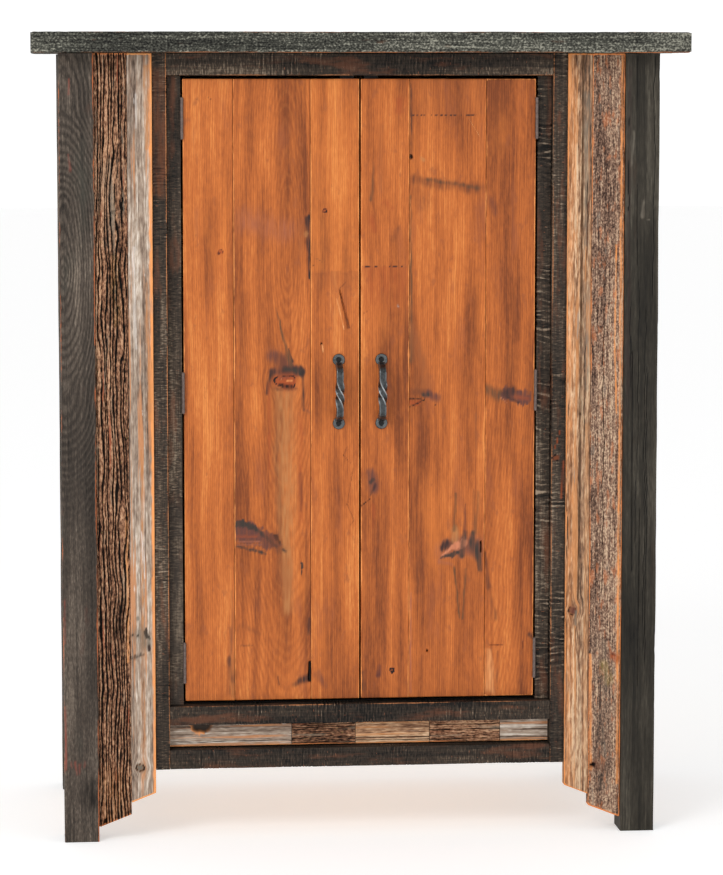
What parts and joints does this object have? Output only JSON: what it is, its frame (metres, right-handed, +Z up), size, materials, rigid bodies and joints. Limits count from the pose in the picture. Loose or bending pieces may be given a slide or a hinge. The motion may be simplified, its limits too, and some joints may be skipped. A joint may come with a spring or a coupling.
{
  "type": "armoire",
  "caption": "Rustic timber armoire with a pair of plank doors, barn-board infill, a hat shelf and a hanging rod.",
  "frame": {"origin": "on the floor, under the middle of the top's outline", "axes": "+Z up, -Y is the front that the doors face, +X is to the right when facing the doors"},
  "size_m": [1.22, 0.61, 1.516],
  "materials": {
    "dark_top": "charcoal stained, wire-brushed, worn brown edges",
    "dark_post": "charcoal stained, wire-brushed, reddish wear",
    "brown_barn_wood": "weathered, deeply ridged, matt",
    "grey_barn_wood": "weathered silver-grey and tan, matt",
    "mixed_barn_wood": "weathered, mixed grey and brown, matt",
    "dark_frame": "dark stained, saw-marked, worn edges",
    "door_pine": "warm orange-brown stain, satin",
    "plain_pine": "planed, matt",
    "steel_hardware": "dull grey",
    "wrought_iron": "blackened, waxed",
    "catch_case": "matt"
  },
  "bodies": {
    "carcass": {"top_board_front": "dark_top", "top_board_middle": "dark_top", "top_board_rear": "dark_top", "front_left_post": "dark_post", "front_right_post": "dark_post", "rear_left_post": "dark_post", "rear_right_post": "dark_post", "left_outer_plank": "brown_barn_wood", "left_inner_plank": "grey_barn_wood", "right_inner_plank": "grey_barn_wood", "right_outer_plank": "brown_barn_wood", "plank_backers": "plain_pine", "left_face_stile": "dark_frame", "right_face_stile": "dark_frame", "top_face_rail": "dark_frame", "sill_rail": "dark_frame", "bottom_face_rail": "dark_frame", "left_jamb": "dark_frame", "right_jamb": "dark_frame", "apron_backer": "plain_pine", "apron_blocks": "mixed_barn_wood", "left_side_planks": "mixed_barn_wood", "right_side_planks": "mixed_barn_wood", "left_side_rails": "dark_frame", "right_side_rails": "dark_frame", "back_boards": "plain_pine", "back_rails": "plain_pine", "front_stretcher": "plain_pine", "top_fixing_screws": "steel_hardware", "cabinet_floor": "plain_pine", "floor_cleats": "plain_pine", "hat_shelf": "plain_pine", "shelf_cleats": "plain_pine", "hanging_rod": "steel_hardware", "rod_sockets": "steel_hardware", "catch_magnets": "catch_case", "hinge_frame_leaves": "steel_hardware", "hinge_pins": "steel_hardware", "hinge_frame_screws": "steel_hardware"},
    "left_door": {"left_door_hinge_plank": "door_pine", "left_door_middle_plank": "door_pine", "left_door_meeting_plank": "door_pine", "left_door_battens": "door_pine", "left_batten_screws": "steel_hardware", "left_door_leaves": "steel_hardware", "left_door_leaf_screws": "steel_hardware", "left_pull": "wrought_iron", "left_pull_screws": "wrought_iron", "left_strike_plate": "steel_hardware"},
    "right_door": {"right_door_hinge_plank": "door_pine", "right_door_middle_plank": "door_pine", "right_door_meeting_plank": "door_pine", "right_door_battens": "door_pine", "right_batten_screws": "steel_hardware", "right_door_leaves": "steel_hardware", "right_door_leaf_screws": "steel_hardware", "right_pull": "wrought_iron", "right_pull_screws": "wrought_iron", "right_strike_plate": "steel_hardware"}
  },
  "joints": [
    {"name": "left_door_swing", "type": "hinge", "parent": "carcass", "child": "left_door", "pos_m": [-0.33235, -0.2285, 0.84475], "axis": [0, 0, -1], "range_deg": [0, 140]},
    {"name": "right_door_swing", "type": "hinge", "parent": "carcass", "child": "right_door", "pos_m": [0.33235, -0.2285, 0.84475], "axis": [0, 0, 1], "range_deg": [0, 140]}
  ]
}
